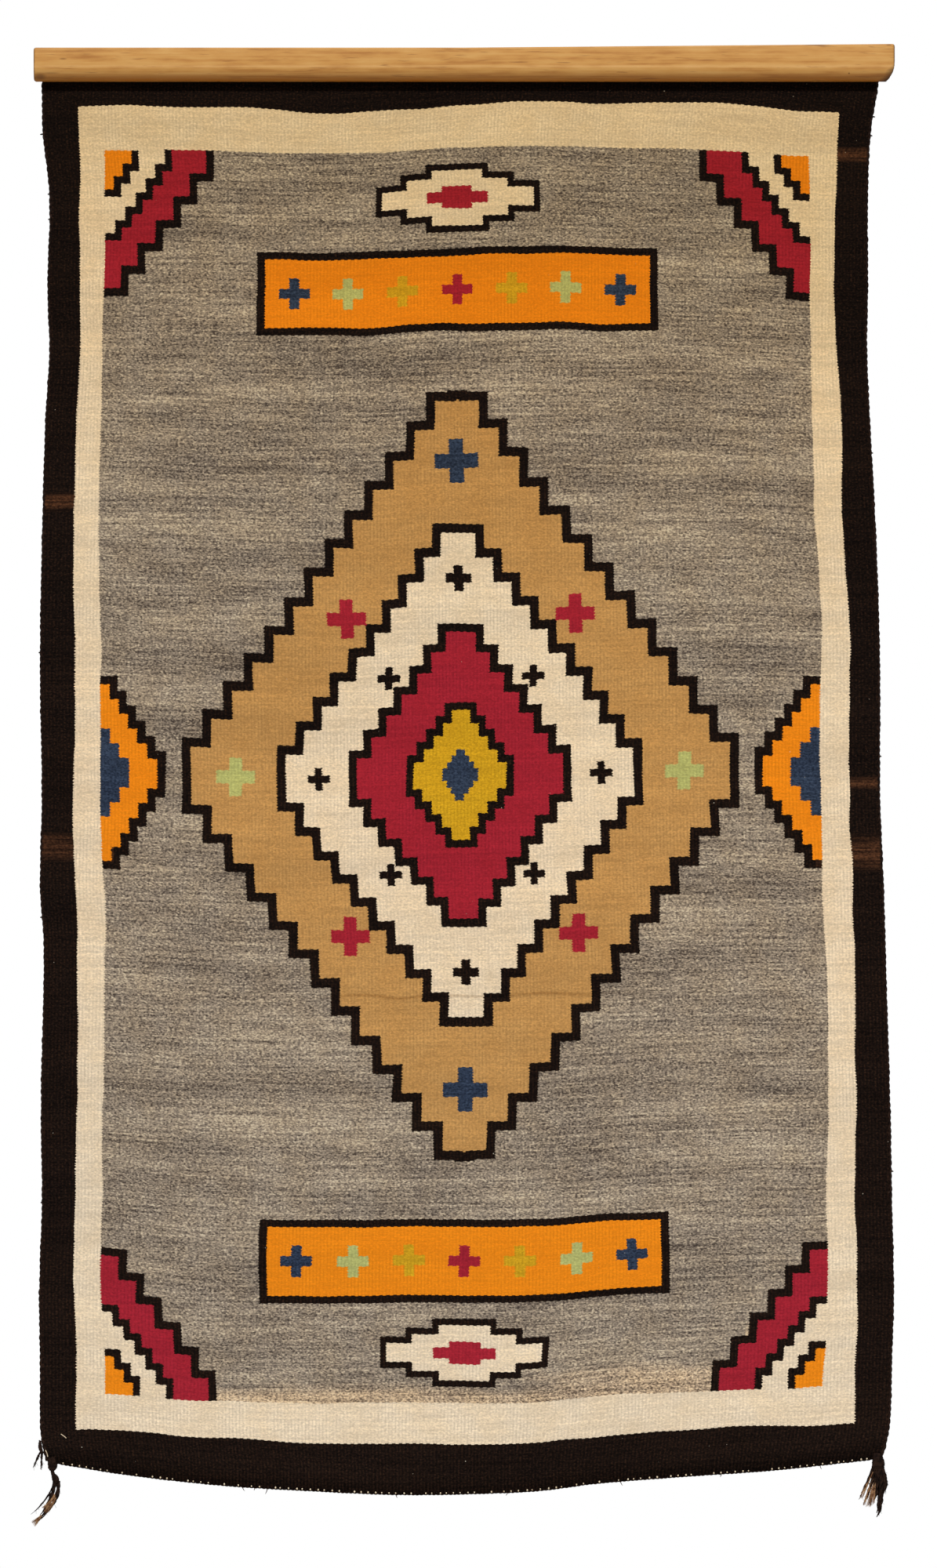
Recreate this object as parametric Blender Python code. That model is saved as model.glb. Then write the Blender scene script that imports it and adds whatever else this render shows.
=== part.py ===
"""A woven wool rug hung from a plain wooden bar.

Metres, +Z up, +X to the viewer's right and +Y towards the wall. The origin is the middle of
the bar's flat back, which lies against the wall. The cloth's upper edge sits in a rebate
along the lower back of the bar, so the back stays flush.
"""

import math

import bmesh
import bpy
from mathutils import Vector

MM = 0.001
GAP = 0.3 * MM

# The bar: softwood, flat on top and behind, with its lower front edge rounded over
BAR_LEFT = -466 * MM
BAR_RIGHT = 466 * MM
BAR_DEPTH = 22 * MM
BAR_TOP = 11 * MM
BAR_TOP_AT_RIGHT = 15 * MM
BAR_UNDERSIDE = -25 * MM
BAR_ROUND_START = -8.5 * MM
BAR_ROUND_STEPS = 10
BAR_FRONT_ARRIS = 1.6 * MM
BAR_FLAT_UNDER_ROUND = 3 * MM
REBATE_DEPTH = 4.9 * MM
REBATE_HEIGHT = 14 * MM

# The worn right end of the bar, cut back below in two slanting facets
WORN_END_CUTS = [
    # inset from the end, height above the underside, lean of the cut in degrees
    (0.0, 17, 17),
    (3.2, 8, 42),
]

# The cloth
CLOTH_THICKNESS = 3.6 * MM
CLOTH_DEPTH_AT_BAR = -2.6 * MM
CLOTH_COLUMNS = 24
CLOTH_ROWS = 36
SIDE_CORD_RADIUS = 2.0 * MM
END_CORD_RADIUS = 1.3 * MM
END_CORD_SHARES = (0.012, 0.990)
CORD_BEVEL_RESOLUTION = 2

# The outline of the cloth, cords included, in millimetres from the middle of the bar.
# The drop is measured down from the underside of the bar.
SIDE_ROWS = [
    # drop, left edge, right edge
    (-14, -458, 450),
    (5, -458, 449),
    (56, -457, 441),
    (124, -450, 438),
    (226, -452, 438),
    (294, -450, 437),
    (362, -454, 440),
    (498, -458, 447),
    (634, -460, 451),
    (770, -458, 451),
    (872, -460, 455),
    (940, -456, 457),
    (1110, -459, 462),
    (1212, -458, 464),
    (1314, -461, 466),
    (1382, -460, 464),
    (1450, -460, 462),
    (1475, -458, 458),
    (1500, -452, 451),
]

BOTTOM_ROWS = [
    # share of the width from the left, drop of the lower edge
    (0.00, 1497),
    (0.09, 1510),
    (0.21, 1522),
    (0.32, 1528),
    (0.43, 1532),
    (0.55, 1530),
    (0.60, 1527),
    (0.66, 1520),
    (0.77, 1512),
    (0.88, 1505),
    (1.00, 1493),
]

# How far the cloth stands out towards the viewer, as soft upright waves that grow downwards
WAVES = [
    # height in millimetres, waves across the width, start of the wave in turns, drift in turns
    (3.2, 1.3, 0.10, 0.12),
    (1.4, 2.9, 0.55, -0.20),
    (0.7, 4.6, 0.30, 0.35),
]
WAVE_STARTS_AT = 30 * MM
WAVE_FULL_AT = 620 * MM

# The corner tassels, each a wrapped head with layers of locks below it
LEFT_TASSEL_HEAD = [
    # x, drop, width, depth in millimetres, from the roots of the locks up to the cloth
    (-442.4, 1517.3, 6.8, 5.0),
    (-442.9, 1513.0, 7.6, 5.4),
    (-445.4, 1508.6, 3.8, 3.6),
    (-446.4, 1505.6, 3.6, 3.4),
    (-446.0, 1502.4, 9.6, 4.2),
    (-445.9, 1495.8, 10.8, 4.4),
]
LEFT_TASSEL_LOCKS = [
    # x and drop of the bend, x and drop of the tip, share of the root left at the tip
    (-446.4, 1534.0, -469.0, 1553.0, 0.30),
    (-442.6, 1540.0, -465.0, 1560.0, 0.45),
    (-434.0, 1538.0, -460.5, 1556.5, 0.40),
]
LEFT_TASSEL_LAYERS = [
    # x and drop by which the bends and tips of a layer move, from the front layer backwards
    (0.0, 0.0),
    (1.6, 2.4),
]

RIGHT_TASSEL_HEAD = [
    (448.0, 1503.7, 13.2, 6.0),
    (448.8, 1497.7, 13.8, 6.4),
    (448.2, 1491.0, 11.6, 4.8),
]
RIGHT_TASSEL_LOCKS = [
    (438.0, 1517.0, 428.4, 1533.6, 0.40),
    (441.0, 1522.0, 434.2, 1539.4, 0.55),
    (444.4, 1522.0, 440.0, 1540.0, 0.55),
    (447.6, 1524.0, 445.6, 1536.4, 0.50),
    (452.6, 1530.0, 448.6, 1553.0, 0.60),
    (456.4, 1518.0, 455.4, 1530.0, 0.45),
]
RIGHT_TASSEL_LAYERS = [
    (0.0, 0.0),
    (1.4, -3.2),
    (-1.2, 2.6),
]

# The tied end of the left side cord, which lies against the outside of that cord
TIE_HEAD = [
    # drop, width, depth
    (1485.0, 4.2, 3.2),
    (1479.5, 5.0, 3.6),
    (1472.4, 2.2, 2.4),
]
TIE_LOCKS = [
    (-463.6, 1493.0, -466.6, 1502.4, 0.55),
    (-458.6, 1493.0, -457.6, 1504.6, 0.55),
]
TIE_LAYERS = [(0.0, 0.0)]

TASSEL_SEAT_GAP = 0.5 * MM
LOCK_STEPS = 6
LOCK_ROOT_INSET = 0.10
STEEPEST_SHARE = 0.62

# Colour, roughness and metallic value of each finish
FINISHES = {
    "wool_weave": ((0.29, 0.22, 0.16), 0.95, 0.0),
    "dark_wool": ((0.012, 0.008, 0.007), 0.95, 0.0),
    "bare_wood": ((0.55, 0.28, 0.08), 0.55, 0.0),
}


def clear_scene():
    for scene_object in list(bpy.data.objects):
        bpy.data.objects.remove(scene_object, do_unlink=True)


def finish_named(name):
    material = bpy.data.materials.get(name)
    if material is None:
        colour, roughness, metallic = FINISHES[name]
        material = bpy.data.materials.new(name)
        material.use_nodes = True
        shader = material.node_tree.nodes["Principled BSDF"]
        shader.inputs["Base Color"].default_value = (*colour, 1.0)
        shader.inputs["Roughness"].default_value = roughness
        shader.inputs["Metallic"].default_value = metallic
    return material


def place(name, data, finish):
    piece = bpy.data.objects.new(name, data)
    data.materials.append(finish_named(finish))
    bpy.context.scene.collection.objects.link(piece)
    return piece


def mesh_from(bm, name):
    mesh = bpy.data.meshes.new(name)
    bm.to_mesh(mesh)
    bm.free()
    return mesh


def extrude_cap(bm, faces, keep):
    """Extrudes a cap of faces, and returns the new cap and its corners. The first cap is kept as the end."""
    grown = bmesh.ops.extrude_face_region(bm, geom=faces)["geom"]
    if not keep:
        bmesh.ops.delete(bm, geom=faces, context="FACES")
    new_faces = [item for item in grown if isinstance(item, bmesh.types.BMFace)]
    new_corners = [item for item in grown if isinstance(item, bmesh.types.BMVert)]
    return new_faces, new_corners


def smooth_value(rows, position, column):
    """Reads a table's column between its rows, on a smooth curve through them."""
    last = len(rows) - 1
    at = 0
    while at < last - 1 and position > rows[at + 1][0]:
        at += 1
    before, low, high, after = (rows[max(0, min(last, at + k))] for k in (-1, 0, 1, 2))
    span = high[0] - low[0]
    share = max(0.0, min(1.0, (position - low[0]) / span))
    slope_low = (high[column] - before[column]) / (high[0] - before[0]) * span
    slope_high = (after[column] - low[column]) / (after[0] - low[0]) * span
    square, cube = share * share, share * share * share
    return (
        (2 * cube - 3 * square + 1) * low[column]
        + (cube - 2 * square + share) * slope_low
        + (3 * square - 2 * cube) * high[column]
        + (cube - square) * slope_high
    )


def height_at(drop):
    return BAR_UNDERSIDE - drop


def side_edge(drop, column):
    """The outer edge of the cloth with its cord: column 1 is the left edge, 2 the right."""
    return smooth_value(SIDE_ROWS, drop / MM, column) * MM


def bottom_drop(share_across):
    return smooth_value(BOTTOM_ROWS, share_across, 1) * MM


def cloth_depth(share_across, drop):
    """The middle of the cloth's thickness, measured along Y. It only comes forward."""
    grown = max(0.0, min(1.0, (drop - WAVE_STARTS_AT) / (WAVE_FULL_AT - WAVE_STARTS_AT)))
    grown = grown * grown * (3 - 2 * grown)
    forward = 0.0
    for height, count, start, drift in WAVES:
        turns = count * share_across + start + drift * drop
        forward += height * MM * 0.5 * (1 - math.cos(2 * math.pi * turns))
    return CLOTH_DEPTH_AT_BAR - grown * forward


def cloth_point(share_across, share_down):
    """A point in the middle of the cloth. The shares run over the woven cloth without its cords."""
    top = GAP - REBATE_HEIGHT
    bottom = bottom_drop(share_across) - 2 * END_CORD_RADIUS - GAP
    drop = top + share_down * (bottom - top)
    inset = 2 * SIDE_CORD_RADIUS + GAP
    left = side_edge(drop, 1) + inset
    right = side_edge(drop, 2) - inset
    across = left + share_across * (right - left)
    return Vector((across, cloth_depth(share_across, drop), height_at(drop)))


def under_cloth(across):
    """The height of the woven cloth's lower edge at a place along X."""
    left, right = cloth_point(0.0, 1.0), cloth_point(1.0, 1.0)
    share = (across - left.x) / (right.x - left.x)
    return cloth_point(max(0.0, min(1.0, share)), 1.0).z


def outside_left_cord(drop):
    """A place along X just clear of the straight last length of the left side cord."""
    upper, lower = cloth_point(0.0, 1.0 - 1.0 / CLOTH_ROWS), cloth_point(0.0, 1.0)
    share = (upper.z - height_at(drop)) / (upper.z - lower.z)
    return upper.x + share * (lower.x - upper.x) - 2 * (SIDE_CORD_RADIUS + GAP)


def make_bar():
    """A profile swept along X, its top rising a little in the right half, then worn at the right end."""
    rebate_top = BAR_UNDERSIDE + REBATE_HEIGHT
    round_foot = -REBATE_DEPTH - BAR_FLAT_UNDER_ROUND
    profile = [
        (0.0, BAR_TOP),
        (0.0, rebate_top),
        (-REBATE_DEPTH, rebate_top),
        (-REBATE_DEPTH, BAR_UNDERSIDE),
    ]
    for step in range(BAR_ROUND_STEPS + 1):
        turn = math.pi / 2 * step / BAR_ROUND_STEPS
        forward = round_foot - (BAR_DEPTH + round_foot) * math.sin(turn)
        up = BAR_ROUND_START - (BAR_ROUND_START - BAR_UNDERSIDE) * math.cos(turn)
        profile.append((forward, up))
    profile.append((-BAR_DEPTH, BAR_TOP - BAR_FRONT_ARRIS))
    profile.append((BAR_FRONT_ARRIS - BAR_DEPTH, BAR_TOP))

    bm = bmesh.new()
    corners = [bm.verts.new((BAR_LEFT, forward, up)) for forward, up in profile]
    cap = bm.faces.new(corners)
    for station in (0.0, BAR_RIGHT):
        caps, new_corners = extrude_cap(bm, [cap], keep=station == 0.0)
        cap = caps[0]
        bmesh.ops.translate(bm, verts=new_corners, vec=(station - new_corners[0].co.x, 0, 0))
    for corner in bm.verts:
        if corner.co.x > BAR_RIGHT - MM and corner.co.z > BAR_ROUND_START + MM:
            corner.co.z += BAR_TOP_AT_RIGHT - BAR_TOP
    for inset, above, lean in WORN_END_CUTS:
        turn = math.radians(lean)
        bmesh.ops.bisect_plane(
            bm,
            geom=bm.verts[:] + bm.edges[:] + bm.faces[:],
            plane_co=(BAR_RIGHT - inset * MM, 0, BAR_UNDERSIDE + above * MM),
            plane_no=(math.cos(turn), 0, -math.sin(turn)),
            clear_outer=True,
        )
        open_edges = [edge for edge in bm.edges if edge.is_boundary]
        bmesh.ops.holes_fill(bm, edges=open_edges)
    bmesh.ops.recalc_face_normals(bm, faces=bm.faces[:])
    place("hanging_bar", mesh_from(bm, "hanging_bar"), "bare_wood")


def make_cloth():
    """One flat-woven sheet, with its uneven outline and the soft waves that it hangs in."""
    bm = bmesh.new()
    bmesh.ops.create_grid(bm, x_segments=CLOTH_COLUMNS, y_segments=CLOTH_ROWS, size=0.5)
    for corner in bm.verts:
        corner.co = cloth_point(corner.co.x + 0.5, 0.5 - corner.co.y)
    cloth = place("rug", mesh_from(bm, "rug"), "wool_weave")
    thickness = cloth.modifiers.new("thickness", "SOLIDIFY")
    thickness.thickness = CLOTH_THICKNESS
    thickness.offset = 0.0


def make_cord(name, points, radius):
    """A plain round cord along the edge of the cloth."""
    curve = bpy.data.curves.new(name, "CURVE")
    curve.dimensions = "3D"
    curve.bevel_depth = radius
    curve.bevel_resolution = CORD_BEVEL_RESOLUTION
    curve.use_fill_caps = True
    spline = curve.splines.new("POLY")
    spline.points.add(len(points) - 1)
    for spline_point, point in zip(spline.points, points):
        spline_point.co = (*point, 1.0)
    place(name, curve, "dark_wool")


def make_edge_cords():
    """The side cords and the end cord that the weft and the warp turn round."""
    rows = [row / CLOTH_ROWS for row in range(CLOTH_ROWS + 1)]
    stand_off = SIDE_CORD_RADIUS + GAP
    left = [cloth_point(0.0, row) - Vector((stand_off, 0, 0)) for row in rows]
    right = [cloth_point(1.0, row) + Vector((stand_off, 0, 0)) for row in rows]
    make_cord("side_cord_left", left, SIDE_CORD_RADIUS)
    make_cord("side_cord_right", right, SIDE_CORD_RADIUS)

    columns = [column / CLOTH_COLUMNS for column in range(CLOTH_COLUMNS + 1)]
    columns[0], columns[-1] = END_CORD_SHARES
    below = Vector((0, 0, END_CORD_RADIUS + GAP))
    end = [cloth_point(column, 1.0) - below for column in columns]
    make_cord("end_cord_bottom", end, END_CORD_RADIUS)


def bend_point(root, bend, tip, share):
    """A point on the curve that a lock follows from its root past its bend to its tip."""
    rest = 1 - share
    return root * rest * rest + bend * 2 * rest * share + tip * share * share


def grow_lock(bm, root_face, bend, tip, tip_share):
    """One lock, drawn out of its own face of the head in steps, and thinned towards its tip."""
    smallest = min(edge.calc_length() for edge in root_face.edges)
    bmesh.ops.inset_individual(bm, faces=[root_face], thickness=smallest * LOCK_ROOT_INSET)
    root = root_face.calc_center_median()
    bend.y = tip.y = root.y
    section = [corner.co - root for corner in root_face.verts]
    end_face = root_face
    before = root
    for step in range(1, LOCK_STEPS + 1):
        share = step / LOCK_STEPS
        target = bend_point(root, bend, tip, share)
        size = 1 - (1 - tip_share) * share**3
        steepness = max(STEEPEST_SHARE, abs((target - before).normalized().z))
        end_face = bmesh.ops.extrude_discrete_faces(bm, faces=[end_face])["faces"][0]
        for corner, offset in zip(end_face.verts, section):
            corner.co = target + Vector((offset.x * size / steepness, offset.y * size, 0))
        before = target


def make_tassel(name, head, locks, layers, depth, under_the_edge=True):
    """A wrapped head over a grid of roots, with a lock below each face of the grid."""
    bm = bmesh.new()
    bmesh.ops.create_grid(bm, x_segments=len(locks), y_segments=len(layers), size=0.5)
    roots = bm.faces[:]
    low_x, low_drop, low_width, low_depth = head[0]
    centre = Vector((low_x * MM, depth, height_at(low_drop * MM)))
    for corner in bm.verts:
        corner.co = centre + Vector((corner.co.x * low_width * MM, corner.co.y * low_depth * MM, 0))

    crown = roots
    for x, drop, width, deep in head[1:]:
        crown, corners = extrude_cap(bm, crown, keep=crown == roots)
        next_centre = Vector((x * MM, depth, height_at(drop * MM)))
        for corner in corners:
            offset = corner.co - centre
            offset.x *= width / low_width
            offset.y *= deep / low_depth
            corner.co = next_centre + offset
        centre, low_width, low_depth = next_centre, width, deep
    if under_the_edge:
        for corner in corners:
            corner.co.z = under_cloth(corner.co.x) - TASSEL_SEAT_GAP
    bmesh.ops.recalc_face_normals(bm, faces=bm.faces[:])

    places = {face: face.calc_center_median() for face in roots}
    roots.sort(key=lambda face: (round(places[face].y, 6), places[face].x))
    for layer, (shift_x, shift_drop) in enumerate(layers):
        for column, (bend_x, bend_drop, tip_x, tip_drop, tip_share) in enumerate(locks):
            bend = Vector(((bend_x + shift_x) * MM, 0, height_at((bend_drop + shift_drop) * MM)))
            tip = Vector(((tip_x + shift_x) * MM, 0, height_at((tip_drop + shift_drop) * MM)))
            grow_lock(bm, roots[layer * len(locks) + column], bend, tip, tip_share)
    bmesh.ops.recalc_face_normals(bm, faces=bm.faces[:])
    place(name, mesh_from(bm, name), "dark_wool")


def make_tassels():
    """Two corner tassels of leftover warp and edge cord, and the tied end of the left side cord."""
    left_depth = cloth_point(0.0, 1.0).y
    right_depth = cloth_point(1.0, 1.0).y
    make_tassel(
        "corner_tassel_left", LEFT_TASSEL_HEAD, LEFT_TASSEL_LOCKS, LEFT_TASSEL_LAYERS, left_depth
    )
    make_tassel(
        "corner_tassel_right", RIGHT_TASSEL_HEAD, RIGHT_TASSEL_LOCKS, RIGHT_TASSEL_LAYERS, right_depth
    )
    tie_head = []
    for drop, width, deep in TIE_HEAD:
        middle = outside_left_cord(drop * MM) / MM - width / 2
        tie_head.append((middle, drop, width, deep))
    make_tassel("side_cord_tie", tie_head, TIE_LOCKS, TIE_LAYERS, left_depth, under_the_edge=False)


clear_scene()
make_bar()
make_cloth()
make_edge_cords()
make_tassels()
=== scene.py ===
import math

import bmesh
import bpy
from mathutils import Matrix, Vector, noise


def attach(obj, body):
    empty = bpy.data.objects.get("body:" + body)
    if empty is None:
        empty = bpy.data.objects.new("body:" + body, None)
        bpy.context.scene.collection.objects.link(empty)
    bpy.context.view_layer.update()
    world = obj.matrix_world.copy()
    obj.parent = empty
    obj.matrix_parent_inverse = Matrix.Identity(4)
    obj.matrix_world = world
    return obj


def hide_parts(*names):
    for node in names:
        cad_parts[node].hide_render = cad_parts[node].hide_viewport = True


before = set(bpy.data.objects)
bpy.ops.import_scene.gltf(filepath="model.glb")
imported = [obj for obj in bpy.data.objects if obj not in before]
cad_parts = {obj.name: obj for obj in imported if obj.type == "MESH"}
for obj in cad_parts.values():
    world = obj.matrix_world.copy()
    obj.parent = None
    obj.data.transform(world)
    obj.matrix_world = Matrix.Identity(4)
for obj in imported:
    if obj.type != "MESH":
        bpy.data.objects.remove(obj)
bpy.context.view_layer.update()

# The woven cloth
# A hand-woven wool rug. Some 244 wool warps, 3.7 mm apart, are hidden by hand-spun weft that is beaten
# down until it covers them in upright ribs. The weft turns back wherever the colour changes, which
# leaves toothed upright joins, while its passes leave the level joins nearly straight.
MM = 0.001
GAP = 0.3 * MM
BAR_UNDERSIDE = -25 * MM
REBATE_HEIGHT = 14 * MM
CLOTH_THICKNESS = 3.6 * MM
CLOTH_DEPTH_AT_BAR = -2.6 * MM
CLOTH_WIDTH = 915 * MM
CLOTH_LENGTH = 1545 * MM
SIDE_CORD_RADIUS = 2.0 * MM
END_CORD_RADIUS = 1.3 * MM
WEFT_TURN = 2.0 * MM  # how far the weft reaches round the edge cords
WARPS = 244
CORNERS_PER_RIB = 3
CLOTH_ROWS = 64
THINNEST_SHARE = 0.76  # thickness between two ribs, as a share of that on a rib

# The outline of the cloth, cords included, in millimetres from the middle of the bar.
# The drop is measured down from the underside of the bar.
SIDE_ROWS = [
    # drop, left edge, right edge
    (-14, -458, 450),
    (5, -458, 449),
    (56, -457, 441),
    (124, -450, 438),
    (226, -452, 438),
    (294, -450, 437),
    (362, -454, 440),
    (498, -458, 447),
    (634, -460, 451),
    (770, -458, 451),
    (872, -460, 455),
    (940, -456, 457),
    (1110, -459, 462),
    (1212, -458, 464),
    (1314, -461, 466),
    (1382, -460, 464),
    (1450, -460, 462),
    (1475, -458, 458),
    (1500, -452, 451),
]
BOTTOM_ROWS = [
    # share of the width from the left, drop of the lower edge
    (0.00, 1497),
    (0.09, 1510),
    (0.21, 1522),
    (0.32, 1528),
    (0.43, 1532),
    (0.55, 1530),
    (0.60, 1527),
    (0.66, 1520),
    (0.77, 1512),
    (0.88, 1505),
    (1.00, 1493),
]

# How far the cloth stands out towards the viewer, as soft upright waves that grow downwards
WAVES = [
    # height in millimetres, waves across the width, start of the wave in turns, drift in turns
    (3.2, 1.3, 0.10, 0.12),
    (1.4, 2.9, 0.55, -0.20),
    (0.7, 4.6, 0.30, 0.35),
]
WAVE_STARTS_AT = 30 * MM
WAVE_FULL_AT = 620 * MM

# Where the joins of the border waver, in millimetres, and the straight lines that they were meant to be
UPRIGHT_JOINS = [
    # drop, dark to cream, cream to grey, grey to cream, cream to dark
    (30, -418, -391, 373, 407),
    (90, -416, -389, 373, 404),
    (192, -417, -390, 375, 401),
    (294, -416, -392, 376, 403),
    (345, -419, -393, 377, 408),
    (396, -421, -394, 377, 409),
    (498, -423, -396, 382, 411),
    (600, -422, -394, 387, 418),
    (702, -422, -394, 385, 417),
    (804, -424, -395, 387, 418),
    (855, -421, -392, 388, 421),
    (906, -419, -389, 389, 421),
    (1008, -419, -390, 394, 424),
    (1110, -419, -392, 394, 424),
    (1212, -422, -393, 393, 424),
    (1314, -422, -393, 394, 426),
    (1416, -420, -389, 388, 423),
    (1460, -420, -389, 386, 423),
]
LEVEL_JOINS = [
    # place across, dark to cream, cream to grey, grey to cream, cream to dark
    (-401, 27.2, 74.8, 1421.0, 1461.0),
    (-350, 26.4, 74.8, 1425.5, 1463.0),
    (-299, 27.2, 74.8, 1429.7, 1468.0),
    (-248, 28.9, 76.5, 1431.4, 1470.5),
    (-197, 31.5, 77.4, 1432.3, 1473.9),
    (-146, 34.9, 77.4, 1432.3, 1475.6),
    (-95, 32.3, 76.5, 1432.3, 1476.5),
    (-44, 29.8, 72.3, 1432.3, 1477.3),
    (7, 25.5, 70.6, 1432.3, 1477.3),
    (58, 22.1, 69.7, 1432.3, 1475.6),
    (109, 22.1, 69.7, 1429.7, 1473.0),
    (160, 23.8, 72.3, 1424.6, 1468.0),
    (211, 23.8, 72.3, 1422.0, 1463.0),
    (262, 23.0, 74.0, 1419.5, 1460.3),
    (313, 25.5, 76.5, 1417.0, 1457.0),
    (364, 31.5, 79.9, 1416.1, 1456.0),
    (415, 34.0, 82.0, 1413.0, 1453.5),
]
UPRIGHT_LINES = (-421, -393, 387, 419)
LEVEL_LINES = (28, 75, 1425, 1467)


def smooth_value(rows, position, column):
    """Reads a table's column between its rows, on a smooth curve through them."""
    last = len(rows) - 1
    at = 0
    while at < last - 1 and position > rows[at + 1][0]:
        at += 1
    before, low, high, after = (rows[max(0, min(last, at + k))] for k in (-1, 0, 1, 2))
    span = high[0] - low[0]
    share = max(0.0, min(1.0, (position - low[0]) / span))
    slope_low = (high[column] - before[column]) / (high[0] - before[0]) * span
    slope_high = (after[column] - low[column]) / (after[0] - low[0]) * span
    square, cube = share * share, share * share * share
    return (
        (2 * cube - 3 * square + 1) * low[column]
        + (cube - 2 * square + share) * slope_low
        + (3 * square - 2 * cube) * high[column]
        + (cube - square) * slope_high
    )


def cloth_depth(share_across, drop):
    """The middle of the cloth's thickness, measured along Y. It only comes forward."""
    grown = max(0.0, min(1.0, (drop - WAVE_STARTS_AT) / (WAVE_FULL_AT - WAVE_STARTS_AT)))
    grown = grown * grown * (3 - 2 * grown)
    forward = 0.0
    for height, count, start, drift in WAVES:
        turns = count * share_across + start + drift * drop
        forward += height * MM * 0.5 * (1 - math.cos(2 * math.pi * turns))
    return CLOTH_DEPTH_AT_BAR - grown * forward


def cloth_point(share_across, share_down, turn=0.0):
    """A point in the middle of the cloth, which reaches on round its edge cords by the weft's turn."""
    top = GAP - REBATE_HEIGHT
    bottom = smooth_value(BOTTOM_ROWS, share_across, 1) * MM - 2 * END_CORD_RADIUS - GAP + turn
    drop = top + share_down * (bottom - top)
    inset = 2 * SIDE_CORD_RADIUS + GAP - turn
    left = smooth_value(SIDE_ROWS, drop / MM, 1) * MM + inset
    right = smooth_value(SIDE_ROWS, drop / MM, 2) * MM - inset
    across = left + share_across * (right - left)
    return Vector((across, cloth_depth(share_across, drop), BAR_UNDERSIDE - drop))


def straighten(place, joins, lines):
    """Moves a place in the cloth as its wavering joins move when they are laid on straight lines."""
    if place <= joins[0]:
        return lines[0] + place - joins[0]
    if place >= joins[-1]:
        return lines[-1] + place - joins[-1]
    at = 0
    while place > joins[at + 1]:
        at += 1
    share = (place - joins[at]) / (joins[at + 1] - joins[at])
    return lines[at] + share * (lines[at + 1] - lines[at])


def design_place(point):
    """Where a point of the cloth lies in the straightened design, in millimetres across and down."""
    across = point.x / MM
    drop = (BAR_UNDERSIDE - point.z) / MM
    upright = [smooth_value(UPRIGHT_JOINS, drop, column) for column in (1, 2, 3, 4)]
    level = [smooth_value(LEVEL_JOINS, across, column) for column in (1, 2, 3, 4)]
    return straighten(across, upright, UPRIGHT_LINES), straighten(drop, level, LEVEL_LINES)


def object_from(bm, name, *finishes):
    """A smooth object in the scene, with its finishes."""
    for face in bm.faces:
        face.smooth = True
    mesh = bpy.data.meshes.new(name)
    bm.to_mesh(mesh)
    bm.free()
    for finish in finishes:
        mesh.materials.append(finish)
    made = bpy.data.objects.new(name, mesh)
    bpy.context.scene.collection.objects.link(made)
    return made


bm = bmesh.new()
bmesh.ops.create_grid(bm, x_segments=WARPS * CORNERS_PER_RIB, y_segments=CLOTH_ROWS, size=0.5)
weave_map = bm.loops.layers.uv.new("weave")
design_map = bm.loops.layers.uv.new("design")
rib_weights = bm.verts.layers.deform.verify()
for corner in bm.verts:
    share_across, share_down = corner.co.x + 0.5, 0.5 - corner.co.y
    corner.co = cloth_point(share_across, share_down, WEFT_TURN)
    corner.co.y += 0.5 * MM * noise.noise(corner.co * 14) * min(1, 6 * share_down)
    on_rib = round(share_across * WARPS * CORNERS_PER_RIB) % CORNERS_PER_RIB > 0
    corner[rib_weights][0] = 0.85 + 0.3 * noise.noise(corner.co * 45) if on_rib else 0.0
    weave_place = (share_across * WARPS, (BAR_UNDERSIDE - corner.co.z) / MM)
    corner_design = design_place(corner.co)
    for loop in corner.link_loops:
        loop[weave_map].uv = weave_place
        loop[design_map].uv = corner_design
cloth = object_from(bm, "woven_cloth")
cloth.vertex_groups.new(name="ribs")
thickness = cloth.modifiers.new("thickness", "SOLIDIFY")
thickness.thickness = CLOTH_THICKNESS
thickness.offset = 0.0
thickness.vertex_group = "ribs"
thickness.thickness_vertex_group = THINNEST_SHARE

# The design is laid out in millimetres from the middle of the grey field, and folded into one quarter
FIELD_MIDDLE = (-3, 750)
FIELD_HALF = (390, 675)
CREAM_MIDDLE = (-1, 747.5)
CREAM_HALF = (420, 719.5)
ORANGE_BAR_RISE = 522
CROSS_PITCH = 60
LOZENGE_RISE = 621
CREASE_DROP = 994
BORDER_FROM = 380.0  # further out than this the yarn can only be the border's
RIGHT_PART_FROM = 300.0  # where the last rows of the field start earlier
WAVER_SIZE = 7.0
TOOTH_PITCH = 3.0
TOOTH_LENGTH = 1.7
BEAD_HEIGHT = 1.7  # one bead is two or three weft passes over a warp, drawn together so that it shows
YARNS = [
    # name, colour, how strongly its carded fibres vary
    ("dark", "#140d0a", 0.80),
    ("cream", "#e2cdb0", 0.24),
    ("grey", "#8f8273", 1.00),
    ("tan", "#b98b52", 0.28),
    ("orange", "#e88516", 0.16),
    ("red", "#9c2230", 0.26),
    ("yellow", "#c99a1e", 0.26),
    ("green", "#b0b16c", 0.26),
    ("navy", "#2e394d", 0.70),
]
YARN_STEP = 1 / len(YARNS)
SOFT_AND_MATT = {"Roughness": 0.95, "Specular IOR Level": 0.06}


def linear(hex_colour, strength=1.0):
    """An sRGB hex colour as the linear colour and alpha that a shader takes."""
    colour = []
    for k in (1, 3, 5):
        channel = int(hex_colour[k : k + 2], 16) / 255
        colour.append(channel / 12.92 if channel <= 0.04045 else ((channel + 0.055) / 1.055) ** 2.4)
    return (*colour, strength)


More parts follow.
